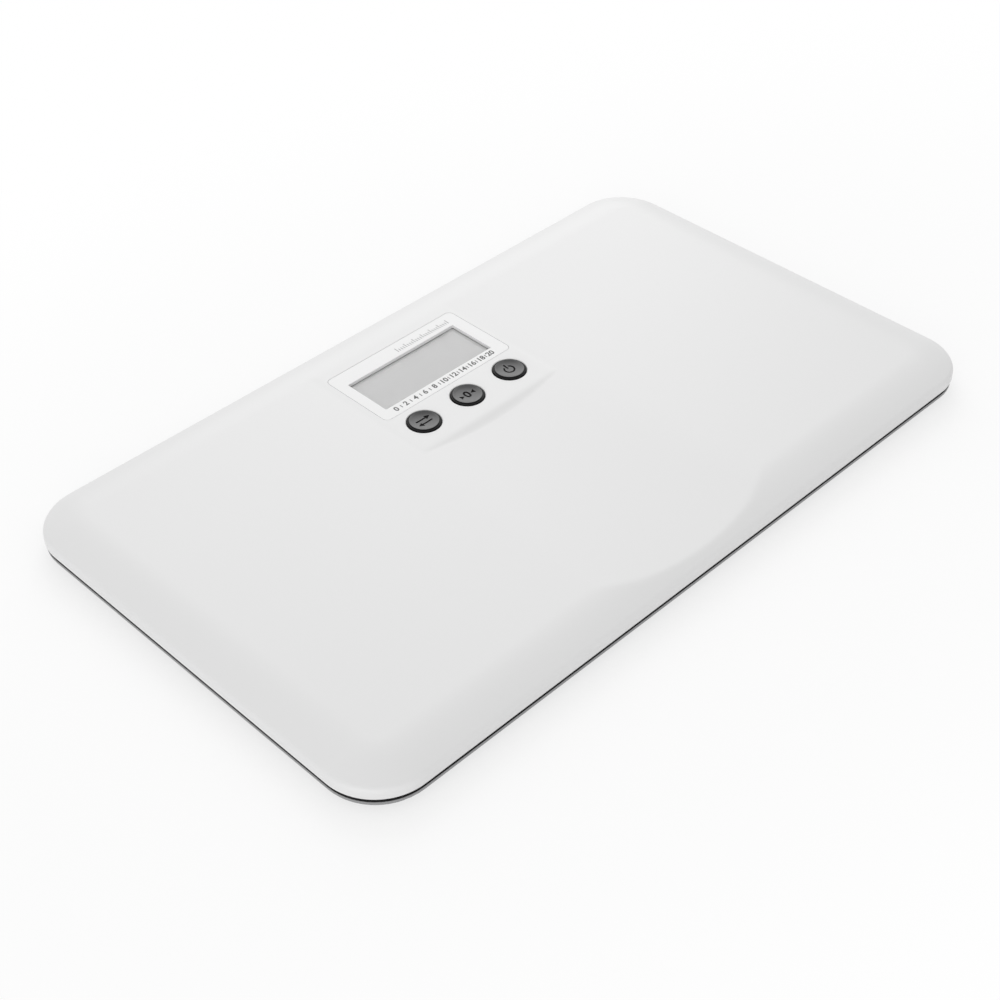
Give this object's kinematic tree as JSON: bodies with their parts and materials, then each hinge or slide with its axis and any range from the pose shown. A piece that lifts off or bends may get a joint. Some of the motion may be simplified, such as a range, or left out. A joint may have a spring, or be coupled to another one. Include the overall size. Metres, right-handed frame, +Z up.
{
  "type": "digital baby weighing scale",
  "caption": "Flat white digital baby weighing scale with rounded corners, a shallow central trough, an inlaid display panel and round push buttons over a grey base.",
  "frame": {"origin": "on the floor, under the middle of the scale", "axes": "+X along the long side in the display's reading direction, +Y towards the display edge, +Z up"},
  "size_m": [0.55, 0.326, 0.0262],
  "materials": {
    "cover_white": "satin moulded white",
    "base_grey": "fine matt dark grey",
    "panel_white": "smooth printed film",
    "clear_window": "clear",
    "lcd_grey": "smooth reflective display grey",
    "frame_black": "moulded black",
    "strip_rubber": "soft",
    "seal_black": "soft matt",
    "board_green": "solder mask",
    "button_dark": "satin dark grey",
    "plunger_white": "plain",
    "cell_steel": "nickel plated",
    "foot_grey": "moulded",
    "foot_rubber": "matt",
    "battery_sleeve": "plain sleeve",
    "contact_steel": "plated spring steel",
    "screw_steel": "zinc plated",
    "lead_grey": "soft sleeve"
  },
  "bodies": {
    "case": {"top_cover": "cover_white", "base_tray": "base_grey", "display_panel": "panel_white", "display_window": "clear_window", "lcd_glass": "lcd_grey", "lcd_frame": "frame_black", "cell_holder_front_left": "frame_black", "cell_holder_front_right": "frame_black", "cell_holder_back_left": "frame_black", "cell_holder_back_right": "frame_black", "switch_body_left": "frame_black", "switch_body_middle": "frame_black", "switch_body_right": "frame_black", "controller_chip": "frame_black", "lcd_contact_strip": "strip_rubber", "edge_seal": "seal_black", "circuit_board": "board_green", "load_cell_front_left": "cell_steel", "load_cell_front_right": "cell_steel", "load_cell_back_left": "cell_steel", "load_cell_back_right": "cell_steel", "foot_front_left": "foot_grey", "foot_front_right": "foot_grey", "foot_back_left": "foot_grey", "foot_back_right": "foot_grey", "foot_pad_front_left": "foot_rubber", "foot_pad_front_right": "foot_rubber", "foot_pad_back_left": "foot_rubber", "foot_pad_back_right": "foot_rubber", "battery_front": "battery_sleeve", "battery_middle": "battery_sleeve", "battery_back": "battery_sleeve", "battery_springs": "contact_steel", "battery_plates": "contact_steel", "cover_screws": "screw_steel", "board_screws": "screw_steel", "holder_screws": "screw_steel", "sensor_lead_front_left": "lead_grey", "sensor_lead_front_right": "lead_grey", "sensor_lead_back_left": "lead_grey", "sensor_lead_back_right": "lead_grey", "battery_lead": "lead_grey"},
    "battery_door": {"battery_door": "base_grey"},
    "button_left": {"button_cap_left": "button_dark", "switch_plunger_left": "plunger_white"},
    "button_middle": {"button_cap_middle": "button_dark", "switch_plunger_middle": "plunger_white"},
    "button_right": {"button_cap_right": "button_dark", "switch_plunger_right": "plunger_white"}
  },
  "joints": [
    {"name": "button_left_press", "type": "slide", "parent": "case", "child": "button_left", "axis": [0, 0, -1], "range_m": [0, 0.0008], "stiffness_N_per_m": 1500, "springref_m": -0.0003},
    {"name": "button_middle_press", "type": "slide", "parent": "case", "child": "button_middle", "axis": [0, 0, -1], "range_m": [0, 0.0008], "stiffness_N_per_m": 1500, "springref_m": -0.0003},
    {"name": "button_right_press", "type": "slide", "parent": "case", "child": "button_right", "axis": [0, 0, -1], "range_m": [0, 0.0008], "stiffness_N_per_m": 1500, "springref_m": -0.0003},
    {"name": "battery_door_hinge", "type": "hinge", "parent": "case", "child": "battery_door", "pos_m": [0.0854, -0.06, 0.0065], "axis": [0, 1, 0], "range_deg": [0, 85]}
  ]
}
